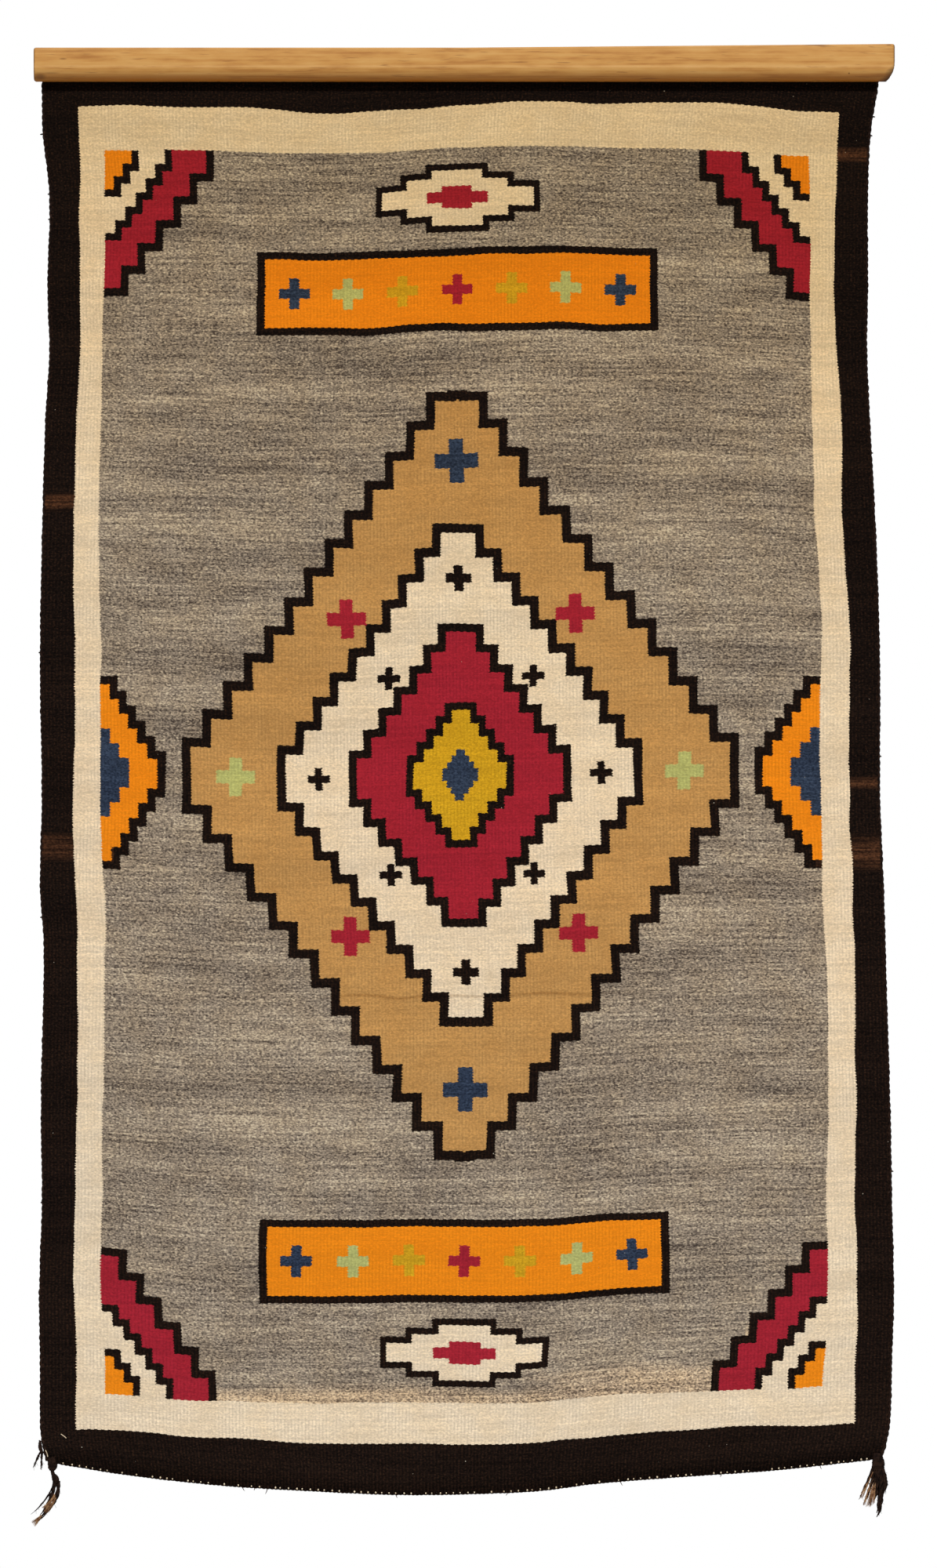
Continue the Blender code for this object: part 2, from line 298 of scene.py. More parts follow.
def feed(node, inputs):
    """Feeds a node's sockets, given by name or in order, with values, nodes or other sockets."""
    for socket, source in inputs.items() if isinstance(inputs, dict) else enumerate(inputs):
        if isinstance(source, bpy.types.Node):
            source = source.outputs[0]
        if isinstance(source, bpy.types.NodeSocket):
            node.id_data.links.new(source, node.inputs[socket])
        else:
            node.inputs[socket].default_value = source


def add_node(tree, kind, inputs=(), **settings):
    """Adds a shader node with its settings, and feeds it."""
    node = tree.nodes.new("ShaderNode" + kind)
    for name, value in settings.items():
        setattr(node, name, value)
    feed(node, inputs)
    return node


def set_ramp(ramp, stops, interpolation="LINEAR"):
    """Gives a colour ramp its stops, each a position and a linear colour with alpha."""
    ramp.color_ramp.interpolation = interpolation
    elements = ramp.color_ramp.elements
    while len(elements) < len(stops):
        elements.new(1.0)
    for element, (position, colour) in zip(elements, stops):
        element.position = position
        element.color = colour


wool = bpy.data.materials.new("hand_spun_wool_weft")
wool.use_nodes = True
tree = wool.node_tree

weave = add_node(tree, "UVMap", uv_map="weave")
weave_xy = add_node(tree, "SeparateXYZ", [weave])
warp, drop = weave_xy.outputs["X"], weave_xy.outputs["Y"]
design = add_node(tree, "UVMap", uv_map="design")

# A hand's unevenness moves the whole design a little, and each tooth is a little longer or shorter
waver = add_node(tree, "TexNoise", {"Vector": design, "Scale": 0.012, "Detail": 2.0})
waver_off = add_node(tree, "VectorMath", [waver.outputs["Color"], (0.5, 0.5, 0.5)], operation="SUBTRACT")
waver_mm = add_node(tree, "VectorMath", {0: waver_off, "Scale": WAVER_SIZE}, operation="SCALE")
design_at = add_node(tree, "VectorMath", [design, waver_mm], operation="ADD")
design_xy = add_node(tree, "SeparateXYZ", [design_at])
design_x, design_y = design_xy.outputs["X"], design_xy.outputs["Y"]

tooth_noise = add_node(tree, "TexNoise", {"Vector": weave, "Scale": 0.16, "Detail": 1.0})
tooth_jitter = add_node(tree, "Math", [tooth_noise, 6.0, drop], operation="MULTIPLY_ADD")
tooth = add_node(tree, "Math", [tooth_jitter, TOOTH_PITCH / 2], operation="PINGPONG")
tooth_off = add_node(
    tree, "Math", [tooth, TOOTH_LENGTH * 2 / TOOTH_PITCH, -TOOTH_LENGTH / 2], operation="MULTIPLY_ADD"
)
tooth_size = add_node(tree, "TexNoise", {"Vector": weave, "Scale": 0.07, "Detail": 2.0})
tooth_size = add_node(tree, "MapRange", [tooth_size, 0.35, 0.65, 0.5, 1.3])
across = add_node(tree, "Math", [tooth_off, tooth_size, design_x], operation="MULTIPLY_ADD")

warp_number = add_node(tree, "Math", [warp], operation="FLOOR")
every_other = add_node(tree, "Math", [warp_number, 2.0], operation="FLOORED_MODULO")
down = add_node(tree, "Math", [every_other, 0.6, design_y], operation="MULTIPLY_ADD")


def fold(source, middle):
    """The distance from a middle line, the same on both sides of it."""
    from_middle = add_node(tree, "Math", [source, middle], operation="SUBTRACT")
    return add_node(tree, "Math", [from_middle], operation="ABSOLUTE")


def block(across, down, half_width, half_height):
    """1 inside a plain rectangle."""
    beside = add_node(tree, "Math", [across, half_width], operation="LESS_THAN")
    below = add_node(tree, "Math", [down, half_height], operation="LESS_THAN")
    return add_node(tree, "Math", [beside, below], operation="MULTIPLY")


def terraced_diamond(across, down, half_width, half_height, step, outline):
    """1 inside a diamond whose sides climb in steps. An outline widens it evenly all round."""
    risen = add_node(tree, "Math", [down, outline], operation="SUBTRACT")
    risen = add_node(tree, "Math", [risen, 0.0], operation="MAXIMUM")
    risen = add_node(tree, "Math", [risen, step], operation="SNAP")
    reach = add_node(
        tree, "Math", [risen, -half_width / half_height, half_width + outline], operation="MULTIPLY_ADD"
    )
    return block(across, down, reach, half_height + outline)


def cross(across, down, arm, half_bar):
    """1 inside an upright cross with four equal arms."""
    nearer = add_node(tree, "Math", [across, down], operation="MINIMUM")
    further = add_node(tree, "Math", [across, down], operation="MAXIMUM")
    return block(nearer, further, half_bar, arm)


def lay_in(ground, shape, yarn):
    """Weaves a yarn into the ground wherever the shape is 1. The yarn is its place in the list."""
    number = (yarn + 0.5) * YARN_STEP if isinstance(yarn, int) else yarn
    return add_node(tree, "Mix", {"Factor": shape, "A": ground, "B": number}, data_type="FLOAT")


def lay_diamonds(ground, across, down, rows, within=None):
    """Weaves stepped diamonds one inside another. An outline above 0 is laid first, in dark yarn."""
    for half_width, half_height, step, outline, yarn in rows:
        for widened, laid in [(outline, DARK), (0, yarn)][0 if outline else 1 :]:
            shape = terraced_diamond(across, down, half_width, half_height, step, widened)
            if within:
                shape = add_node(tree, "Math", [shape, within], operation="MULTIPLY")
            ground = lay_in(ground, shape, laid)
    return ground


DARK, CREAM, GREY, TAN, ORANGE, RED, YELLOW, GREEN, NAVY = range(len(YARNS))

# The border of dark and cream, and the grey field
inside_dark = block(fold(across, CREAM_MIDDLE[0]), fold(down, CREAM_MIDDLE[1]), *CREAM_HALF)
pattern = lay_in((DARK + 0.5) * YARN_STEP, inside_dark, CREAM)
side = fold(across, FIELD_MIDDLE[0])
rise = fold(down, FIELD_MIDDLE[1])
pattern = lay_in(pattern, block(side, rise, *FIELD_HALF), GREY)

# A quarter of a stepped diamond in each corner of the field, and half of one at the middle of its sides
from_side = add_node(tree, "Math", [FIELD_HALF[0], side], operation="SUBTRACT")
in_field = block(side, rise, *FIELD_HALF)
from_end = add_node(tree, "Math", [FIELD_HALF[1], rise], operation="SUBTRACT")
# Each row holds half the width, half the height, the step, the outline and the yarn
corner_rows = [(112, 150, 25, 9, RED), (66, 90, 15, 8, CREAM), (30, 42, 14, 8, ORANGE)]
pattern = lay_diamonds(pattern, from_side, from_end, corner_rows, in_field)
pattern = lay_diamonds(pattern, from_side, rise, [(62, 96, 16, 9, ORANGE), (32, 48, 16, 0, NAVY)], in_field)

# The great stepped diamond in the middle, one inside another
middle_rows = [
    (292, 405, 31, 10, TAN),
    (188, 260, 26, 10, CREAM),
    (112, 154, 22, 9, RED),
    (50, 70, 14, 8, YELLOW),
    (20, 28, 7, 0, NAVY),
]
pattern = lay_diamonds(pattern, side, rise, middle_rows)

# Small crosses on the tan and cream rings
for place_across, place_up, arm, half_bar, yarn in [
    (243, 0, 21, 7, GREEN),
    (0, 338, 24, 8, NAVY),
    (124, 172, 21, 7, RED),
    (153, 0, 12, 4, DARK),
    (0, 212, 14, 5, DARK),
    (78, 106, 12, 4, DARK),
]:
    small_cross = cross(fold(side, place_across), fold(rise, place_up), arm, half_bar)
    pattern = lay_in(pattern, small_cross, yarn)

# An orange bar above and below, with a row of crosses whose colour changes from one to the next
bar_rise = fold(rise, ORANGE_BAR_RISE)
pattern = lay_in(pattern, block(side, bar_rise, 221, 45), DARK)
pattern = lay_in(pattern, block(side, bar_rise, 212, 37), ORANGE)
beside_cross = add_node(tree, "Math", [side, CROSS_PITCH / 2], operation="PINGPONG")
cross_number = add_node(tree, "Math", [side, 1 / CROSS_PITCH, 0.5], operation="MULTIPLY_ADD")
cross_number = add_node(tree, "Math", [cross_number], operation="FLOOR")
cross_number = add_node(tree, "Math", [cross_number, 4.0], operation="FLOORED_MODULO")
cross_yarn = add_node(
    tree, "Math", [cross_number, YARN_STEP, (RED + 0.5) * YARN_STEP], operation="MULTIPLY_ADD"
)
crosses = cross(beside_cross, bar_rise, 17, 5.5)
crosses = add_node(tree, "Math", [crosses, block(side, bar_rise, 200, 37)], operation="MULTIPLY")
pattern = lay_in(pattern, crosses, cross_yarn)

# A flat stepped lozenge between each orange bar and the cream
end_rise = fold(rise, LOZENGE_RISE)
pattern = lay_diamonds(pattern, side, end_rise, [(84, 30, 10, 7, CREAM), (34, 12, 6, 0, RED)])

palette = add_node(tree, "ValToRGB", [pattern])
yarn_stops = [(k * YARN_STEP, linear(colour, fleck)) for k, (name, colour, fleck) in enumerate(YARNS)]
set_ramp(palette, yarn_stops, "CONSTANT")

# Carded wool: fibres of several fleeces lie in each yarn as short flecks, and each batch of yarn is a
# little lighter or darker than the last, in streaks that run with the weft
bead_place = add_node(tree, "Math", [every_other, BEAD_HEIGHT / 2, tooth_jitter], operation="MULTIPLY_ADD")
bead_count = add_node(tree, "Math", [bead_place, BEAD_HEIGHT], operation="DIVIDE")
wool_noises = []
for across_scale, down_scale, detail, roughness in [
    # marks for each millimetre across and down: loose fibres, flecks, streaks and batches of yarn
    (0.9, 2.2, 3.0, 0.5),
    (0.36, 0.60, 2.0, 0.65),
    (0.011, 0.36, 2.0, 0.5),
    (0.003, 0.028, 3.0, 0.5),
]:
    stretched = add_node(tree, "Mapping", {"Vector": design, "Scale": (across_scale, down_scale, 1.0)})
    settings = {"Vector": stretched, "Scale": 1.0, "Detail": detail, "Roughness": roughness}
    wool_noises.append(add_node(tree, "TexNoise", settings))
fibre, fleck, streak, abrash = wool_noises
tuft_place = add_node(tree, "Mapping", {"Vector": design, "Scale": (0.46, 0.90, 1.0)})
tuft_place = add_node(
    tree, "VectorMath", [fibre.outputs["Color"], (1.1, 1.1, 0.0), tuft_place], operation="MULTIPLY_ADD"
)
tuft = add_node(tree, "TexVoronoi", {"Vector": tuft_place, "Scale": 1.0}, voronoi_dimensions="2D")
carding = -2.0
for source, weight in [(fleck, 2.2), (tuft.outputs["Color"], 0.8), (streak, 1.1), (abrash, 0.9)]:
    carding = add_node(tree, "Math", [source, weight, carding], operation="MULTIPLY_ADD")
fleece = add_node(tree, "ValToRGB", [carding])
set_ramp(
    fleece,
    [
        # half of what the yarn's colour is multiplied by, from dark and bluish to pale and yellowish
        (0.0, (0.11, 0.10, 0.105, 1)),
        (0.22, (0.27, 0.26, 0.265, 1)),
        (0.5, (0.47, 0.465, 0.46, 1)),
        (0.78, (0.72, 0.70, 0.66, 1)),
        (1.0, (1.0, 0.98, 0.90, 1)),
    ],
)
fleck_share = palette.outputs["Alpha"]
fleece = add_node(tree, "Mix", {"Factor": fleck_share, 6: (0.5, 0.5, 0.5, 1), 7: fleece}, data_type="RGBA")

# Between two ribs the weft lies deeper: the colour there is darkened as painted shade with a little dust,
# more in some patches than in others
from_groove = add_node(tree, "Math", [warp, 0.5], operation="PINGPONG")
dust = add_node(tree, "TexNoise", {"Vector": design, "Scale": 0.03, "Detail": 4.0})
groove_shade_floor = add_node(tree, "MapRange", [dust, 0.35, 0.65, 0.80, 0.97])
painted_groove_shade = add_node(tree, "MapRange", [from_groove, 0.0, 0.28, groove_shade_floor])
groove_shade_tone = add_node(tree, "Math", [painted_groove_shade, 2.0], operation="MULTIPLY")

# Browner wool shows in the dark border, as whole bands here and there and as fine flecks that are kept to the
# crests of the ribs, where they stand in as a painted highlight along each rib
BROWN_BANDS = [
    # drop and half height in millimetres, side: -1 is left, 1 is right
    (72, 9, 1),
    (761, 8, 1),
    (838, 22, 1),
    (457, 11, -1),
    (832, 17, -1),
]
in_dark = add_node(tree, "Math", [pattern, YARN_STEP], operation="LESS_THAN")
least_brown = add_node(tree, "MapRange", [drop, 100.0, 1400.0, -0.1, 0.1])
brown = add_node(tree, "MapRange", [fleck, 0.45, 0.65, least_brown, 0.42])
# Only the rib crests keep the brown flecks: a painted highlight along each rib
brown = add_node(tree, "Math", [brown, from_groove], operation="MULTIPLY")
broken = add_node(tree, "MapRange", [streak, 0.3, 0.56, 0.25, 0.9])
for band_drop, half_height, band_side in BROWN_BANDS:
    on_side = add_node(tree, "Math", [design_x, band_side], operation="MULTIPLY")
    on_side = add_node(tree, "Math", [on_side, BORDER_FROM], operation="GREATER_THAN")
    in_band = add_node(tree, "MapRange", [fold(design_y, band_drop), half_height, half_height * 0.3])
    in_band = add_node(tree, "Math", [in_band, broken], operation="MULTIPLY")
    in_band = add_node(tree, "Math", [in_band, on_side], operation="MULTIPLY")
    brown = add_node(tree, "Math", [brown, in_band], operation="MAXIMUM")
brown = add_node(tree, "Math", [brown, in_dark], operation="MULTIPLY")

# A warmer batch of grey was used for the last rows of the field, and for more rows at the right
at_right = add_node(tree, "Math", [design_x, RIGHT_PART_FROM], operation="GREATER_THAN")
last_rows = add_node(tree, "Math", [at_right, 38.0, design_y], operation="MULTIPLY_ADD")
last_rows = add_node(tree, "Math", [design_x, 0.03, last_rows], operation="MULTIPLY_ADD")
last_rows = add_node(tree, "Math", [abrash, 50.0, last_rows], operation="MULTIPLY_ADD")
last_rows = add_node(tree, "MapRange", [last_rows, 1424.0, 1438.0, 0.0, 0.8])
in_grey = add_node(tree, "Math", [pattern, (GREY + 0.5) * YARN_STEP, 0.02], operation="COMPARE")
last_rows = add_node(tree, "Math", [last_rows, in_grey], operation="MULTIPLY")
yarn_colour = palette
for share, batch in [(brown, "#4b2f1f"), (last_rows, "#bea689")]:
    layers = {"Factor": share, 6: yarn_colour, 7: linear(batch)}
    yarn_colour = add_node(tree, "Mix", layers, data_type="RGBA").outputs[2]
yarn_colour = add_node(tree, "VectorMath", [yarn_colour, fleece.outputs[2]], operation="MULTIPLY")
# The painted shade between the ribs darkens the yarn's colour here
yarn_colour = add_node(tree, "VectorMath", {0: yarn_colour, "Scale": groove_shade_tone}, operation="SCALE")
pale_fleck = add_node(tree, "MapRange", [carding, 0.90, 1.05, 0.0, 0.65])
pale_fleck = add_node(tree, "Math", [pale_fleck, in_grey], operation="MULTIPLY")

# Soft soiling in patches, a faint crease across the lower half drawn as a line of painted shade, and a few
# specks of pale lint
soil = add_node(tree, "MapRange", [dust, 0.38, 0.62, 0.0, 0.8])
crease_wander = add_node(tree, "Math", [waver, 14.0, design_y], operation="MULTIPLY_ADD")
painted_crease_shade = add_node(tree, "MapRange", [fold(crease_wander, CREASE_DROP), 2.6, 0.4])
crease_ends = add_node(tree, "MapRange", [fold(design_x, 2), 190.0, 120.0])
painted_crease_shade = add_node(tree, "Math", [painted_crease_shade, crease_ends], operation="MULTIPLY")
painted_crease_shade = add_node(tree, "Math", [painted_crease_shade, streak], operation="MULTIPLY")
lint = add_node(tree, "TexVoronoi", {"Vector": design, "Scale": 0.07}, voronoi_dimensions="2D")
lint_size = add_node(tree, "Math", [lint.outputs["Color"], 0.3, -0.245], operation="MULTIPLY_ADD")
lint_near = add_node(tree, "Math", [lint.outputs["Distance"], lint_size], operation="LESS_THAN")
lint_chance = add_node(tree, "Math", [dust, 0.51], operation="GREATER_THAN")
lint_mask = add_node(tree, "Math", [lint_near, lint_chance], operation="MULTIPLY")
lint_mask = add_node(tree, "Math", [lint_mask, 0.6], operation="MULTIPLY")

# The wool has yellowed towards the top, most of all at the right, and pale yarn shows it most
age_place = add_node(tree, "Math", [design_x, -0.19, drop], operation="MULTIPLY_ADD")
age_place = add_node(tree, "MapRange", [age_place, 0.0, 1500.0])
age = add_node(tree, "ValToRGB", [age_place])
set_ramp(
    age,
    [
        (0.0, (0.86, 0.76, 0.53, 1)),
        (0.08, (0.88, 0.79, 0.575, 1)),
        (0.18, (0.97, 0.89, 0.72, 1)),
        (0.38, (0.99, 0.98, 0.93, 1)),
        (0.55, (1.0, 0.99, 0.96, 1)),
        (0.7, (0.97, 0.98, 0.98, 1)),
        (0.86, (0.91, 0.945, 0.985, 1)),
    ],
)
yellowed_share = add_node(tree, "Math", [fleck_share, -0.45, 1.0], operation="MULTIPLY_ADD")
for share, blend, layer in [
    (pale_fleck, "MIX", linear("#d3c5aa")),
    (soil, "MULTIPLY", (0.93, 0.90, 0.85, 1)),
    # the crease's painted shade
    (painted_crease_shade, "MULTIPLY", (0.45, 0.36, 0.28, 1)),
    (lint_mask, "MIX", linear("#cfc4b0")),
    (yellowed_share, "MULTIPLY", age),
]:
    layers = {"Factor": share, 6: yarn_colour, 7: layer}
    yarn_colour = add_node(tree, "Mix", layers, data_type="RGBA", blend_type=blend).outputs[2]

# Rounded beads of weft along each rib, and loose fibres over them
bead_phase = add_node(tree, "Math", [bead_count, math.pi], operation="MULTIPLY")
bead_round = add_node(tree, "Math", [bead_phase], operation="SINE")
bead_round = add_node(tree, "Math", [bead_round], operation="ABSOLUTE")
bead_round = add_node(tree, "Math", [bead_round, 0.2], operation="MULTIPLY")
relief = add_node(tree, "Math", [fibre, 1.2, bead_round], operation="MULTIPLY_ADD")
bump = add_node(tree, "Bump", {"Height": relief, "Strength": 0.55, "Distance": 0.35 * MM})
feed(tree.nodes["Principled BSDF"], {"Base Color": yarn_colour, "Normal": bump, **SOFT_AND_MATT})
cloth.data.materials.append(wool)

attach(cloth, "root")
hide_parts("rug")

# The edge cords
# Two-ply wool cords run along the sides, and a thin one along the lower end. The weft and the warp turn
# round them, so that they hold the edges. At the lower end the pale warp shows in small loops.
SIDE_CORD_LAY = 14 * MM
END_CORD_LAY = 9 * MM
END_CORD_SHARES = (0.012, 0.990)
POINTS_PER_TURN = 8
WARP_LOOP_PITCH = 8.2 * MM
WARP_LOOP_RADIUS = 0.76 * MM
STRAY_ENDS = [
    # share of the width, length and lean in millimetres
    (0.232, 5.0, 2.6),
    (0.247, 3.4, -1.0),
    (0.262, 6.5, -2.2),
    (0.418, 4.2, 1.4),
    (0.553, 3.6, -1.8),
    (0.690, 5.2, 2.4),
    (0.812, 3.8, -1.2),
    (0.931, 4.6, 1.6),
]
BURLS = {
    # drop and length in millimetres of small knots and loops of weft that stand out of the side cords
    "side_cord_left": [(57, 2.6), (121, 1.3), (148, 1.1), (618, 1.2), (905, 1.5), (1214, 1.0)],
    "side_cord_right": [(38, 1.8), (58, 1.6), (402, 1.0), (731, 1.4), (1180, 1.7)],
}
LOOSE_THREADS = [
    # x and drop of the upper end, length and lean, all in millimetres
    (-453.6, 1482.8, 7.0, 2.4),
    (-436.9, 1465.4, 4.4, 5.8),
]


def new_yarns(name, finish):
    """An empty bundle of yarns, to which round strands are added one by one."""
    bundle = bpy.data.curves.new(name, "CURVE")
    bundle.dimensions = "3D"
    bundle.bevel_depth = MM
    bundle.bevel_resolution = 1
    bundle.use_fill_caps = True
    bundle.materials.append(finish)
    yarns = bpy.data.objects.new(name, bundle)
    bpy.context.scene.collection.objects.link(yarns)
    return yarns


def add_strand(yarns, points, radii):
    """One strand through the points, with its own radius at each of them."""
    spline = yarns.data.splines.new("POLY")
    spline.points.add(len(points) - 1)
    for spline_point, point, radius in zip(spline.points, points, radii):
        spline_point.co = (*point, 1.0)
        spline_point.radius = radius / MM


def curved(root, bend, tip, steps):
    """Points on the soft curve from a root past a bend to a tip."""
    shares = [k / steps for k in range(steps + 1)]
    return [root.lerp(bend, share).lerp(bend.lerp(tip, share), share) for share in shares]


def wound(points, reach, lay, start):
    """Winds a strand round a path: reach is its distance from the path at each point."""
    route = []
    length = 0.0
    for k, point in enumerate(points):
        ahead = points[min(k + 1, len(points) - 1)] - points[max(k - 1, 0)]
        along = ahead.normalized()
        outward = (Vector((0, 1, 0)) - along * along.y).normalized()
        sideways = along.cross(outward)
        turn = 2 * math.pi * (length / lay + start)
        route.append(point + reach[k] * (math.cos(turn) * outward + math.sin(turn) * sideways))
        length += ahead.length / 2 if 0 < k < len(points) - 1 else ahead.length
    return route


def yarn_material(name, deep, light, fuzz):
    """Hand-spun yarn: soft, matt and streaked along its fibres."""
    yarn = bpy.data.materials.new(name)
    yarn.use_nodes = True
    tree = yarn.node_tree
    place = add_node(tree, "TexCoord").outputs["Object"]
    patches = add_node(tree, "TexNoise", {"Vector": place, "Scale": 260.0, "Detail": 4.0})
    colour = add_node(tree, "ValToRGB", [patches])
    set_ramp(colour, [(0.35, linear(deep)), (0.68, linear(light))])
    fibres = add_node(tree, "TexNoise", {"Vector": place, "Scale": 1500.0, "Detail": 2.0})
    bump = add_node(tree, "Bump", {"Height": fibres, "Strength": fuzz, "Distance": 0.2 * MM})
    feed(tree.nodes["Principled BSDF"], {"Base Color": colour, "Normal": bump, **SOFT_AND_MATT})
    return yarn


dark_yarn = yarn_material("dark_brown_plied_wool", "#130c0a", "#2e1f18", 0.6)
russet_yarn = yarn_material("russet_brown_plied_wool", "#1c100c", "#45281c", 0.6)
pale_warp = yarn_material("undyed_warp_wool", "#b8a284", "#e2d3b8", 0.5)
faded_fibre = yarn_material("faded_wool_ends", "#69452f", "#a8845f", 0.4)

for name, share_across, outward in [("side_cord_left", 0.0, -1), ("side_cord_right", 1.0, 1)]:
    steps = round(CLOTH_LENGTH / SIDE_CORD_LAY * POINTS_PER_TURN)
    stand_off = Vector((outward * (SIDE_CORD_RADIUS + GAP), 0, 0))
    middle = [cloth_point(share_across, k / steps) + stand_off for k in range(steps + 1)]
    side_cord = new_yarns(name + "_plies", dark_yarn)
    for ply in (0.0, 0.5):
        swell = [1 + 0.36 * noise.noise(Vector((k * 0.19, ply * 9, outward))) for k in range(steps + 1)]
        route = wound(middle, [0.72 * MM * s for s in swell], SIDE_CORD_LAY, ply)
        add_strand(side_cord, route, [1.36 * MM * s for s in swell])
    for drop_mm, length in BURLS[name]:
        root = min(middle, key=lambda place: abs(BAR_UNDERSIDE - drop_mm * MM - place.z))
        tip = root + Vector((outward * (SIDE_CORD_RADIUS + length * MM), -0.6 * MM, -0.7 * MM))
        add_strand(side_cord, [root, root.lerp(tip, 0.75), tip], [1.1 * MM, 0.9 * MM, 0.4 * MM])
    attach(side_cord, "root")
    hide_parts(name)

first, last = END_CORD_SHARES
steps = round(CLOTH_WIDTH / END_CORD_LAY * POINTS_PER_TURN)
stand_off = Vector((0, 0, END_CORD_RADIUS + GAP))
middle = [cloth_point(first + (last - first) * k / steps, 1.0) - stand_off for k in range(steps + 1)]
end_cord = new_yarns("end_cord_bottom_plies", russet_yarn)
for ply in (0.0, 0.5):
    swell = [1 + 0.25 * noise.noise(Vector((k * 0.27, ply * 9, 5))) for k in range(steps + 1)]
    route = wound(middle, [0.6 * MM * s for s in swell], END_CORD_LAY, ply)
    add_strand(end_cord, route, [0.74 * MM * s for s in swell])
for share, length, lean in STRAY_ENDS:
    root = cloth_point(share, 1.0) - stand_off
    tip = root + Vector((lean * MM, -0.8 * MM, -length * MM))
    bend = (root + tip) / 2 + Vector((-0.5 * lean * MM, -0.6 * MM, 0))
    add_strand(end_cord, curved(root, bend, tip, 4), [0.45 * MM, 0.5 * MM, 0.45 * MM, 0.35 * MM, 0.15 * MM])
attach(end_cord, "root")
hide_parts("end_cord_bottom")

bm = bmesh.new()
loops = round(CLOTH_WIDTH / WARP_LOOP_PITCH)
for k in range(loops):
    chance = noise.noise(Vector((k * 1.7, 3.1, 0.4)))
    if chance < -0.28:
        continue
    place = cloth_point(first + (last - first) * (k + 0.5 + 0.5 * chance) / loops, 1.0)
    place += Vector((0, -CLOTH_THICKNESS * 0.42, -0.5 * MM))
    loop = bmesh.ops.create_icosphere(bm, subdivisions=2, radius=WARP_LOOP_RADIUS * (1 + 0.5 * chance))
    bmesh.ops.scale(bm, verts=loop["verts"], vec=(1.0, 0.9, 1.25))
    bmesh.ops.translate(bm, verts=loop["verts"], vec=place)
warp_loops = object_from(bm, "warp_loops", pale_warp)
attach(warp_loops, "root")

loose_threads = new_yarns("loose_warp_threads", pale_warp)
for x, drop_mm, long, lean in LOOSE_THREADS:
    depth = cloth_point(0.0, 1.0).y - CLOTH_THICKNESS * 0.6
    top_end = Vector((x * MM, depth, BAR_UNDERSIDE - drop_mm * MM))
    low_end = top_end + Vector((lean * MM, 0, -long * MM))
    bend = (top_end + low_end) / 2 + Vector((0.9 * MM, -0.9 * MM, 0))
    add_strand(loose_threads, curved(top_end, bend, low_end, 6), [0.5 * MM] * 7)
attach(loose_threads, "root")

# The corner tassels and the tied cord end
# At the lower corners the ends of the cords are knotted together and left hanging as short tassels, whose
# plies have come apart and faded to tan. The left side cord is also tied off just above its corner.
LEFT_KNOT = [
    # x, drop, width, depth in millimetres, from the roots of the locks up to the cloth
    (-442.4, 1517.3, 6.8, 5.0),
    (-442.9, 1513.0, 7.6, 5.4),
    (-445.4, 1508.6, 3.8, 3.6),
    (-446.4, 1505.6, 3.6, 3.4),
    (-446.0, 1502.4, 9.6, 4.2),
    (-445.9, 1495.8, 10.8, 4.4),
    (-447.0, 1490.5, 9.0, 3.8),
]
LEFT_LOCKS = [
    # x and drop of the bend, x and drop of the tip, width
    (-446.4, 1532.0, -469.2, 1552.8, 2.1),
    (-446.6, 1536.0, -459.0, 1554.0, 4.4),
    (-435.4, 1537.0, -464.6, 1561.6, 5.2),
]
LEFT_FADED = [
    # x and drop of the root, the bend and the tip
    (-443.6, 1530.0, -446.0, 1538.0, -456.0, 1545.0),
    (-443.0, 1532.0, -447.5, 1539.0, -454.0, 1549.0),
    (-442.5, 1534.0, -446.5, 1542.0, -452.0, 1550.0),
    (-458.0, 1553.0, -462.0, 1558.0, -467.5, 1560.5),
    (-458.0, 1554.0, -462.0, 1559.0, -465.0, 1564.0),
]
RIGHT_KNOT = [
    (448.0, 1503.7, 13.2, 6.0),
    (448.8, 1497.7, 13.8, 6.4),
    (448.2, 1491.0, 11.6, 4.8),
    (447.6, 1486.0, 9.6, 4.0),
]
RIGHT_LOCKS = [
    (438.0, 1517.0, 428.4, 1533.6, 3.0),
    (441.0, 1522.0, 434.2, 1539.4, 3.0),
    (444.4, 1522.0, 440.0, 1540.0, 3.0),
    (447.6, 1524.0, 445.6, 1536.4, 4.0),
    (452.6, 1530.0, 448.6, 1553.0, 5.6),
    (456.4, 1518.0, 455.4, 1530.0, 4.6),
]
RIGHT_FADED = [
    (443.0, 1506.0, 436.0, 1520.0, 430.5, 1534.0),
    (443.0, 1514.0, 437.0, 1528.0, 433.5, 1542.0),
    (443.5, 1518.0, 440.0, 1530.0, 436.5, 1543.5),
    (444.0, 1518.0, 442.0, 1530.0, 440.0, 1543.0),
    (445.0, 1518.0, 444.0, 1530.0, 443.0, 1540.0),
]
TIE_KNOT = [
    # drop, width, depth
    (1485.0, 3.4, 2.8),
    (1479.5, 4.0, 3.2),
    (1472.4, 2.0, 2.2),
]
TIE_LOCKS = [
    (-463.6, 1493.0, -466.6, 1502.4, 2.8),
    (-458.6, 1493.0, -457.6, 1504.6, 3.0),
]
LOCK_STEPS = 22
KNOT_SIDES = 14
KNOT_WRAP_PITCH = 1.0
LOCK_LAY = 26 * MM
FUZZ_HAIRS = 12
FADED_HAIRS = 14


def stray(fibre_number, lock_number, layer):
    """Which way a loose fibre strays, and how far, as a vector that never points back to the wall."""
    off = Vector(
        noise.noise(Vector((fibre_number * 1.7, lock_number * 2.1, layer + 3.7 * axis + 0.5)))
        for axis in range(3)
    )
    off.y = -abs(off.y)
    return off


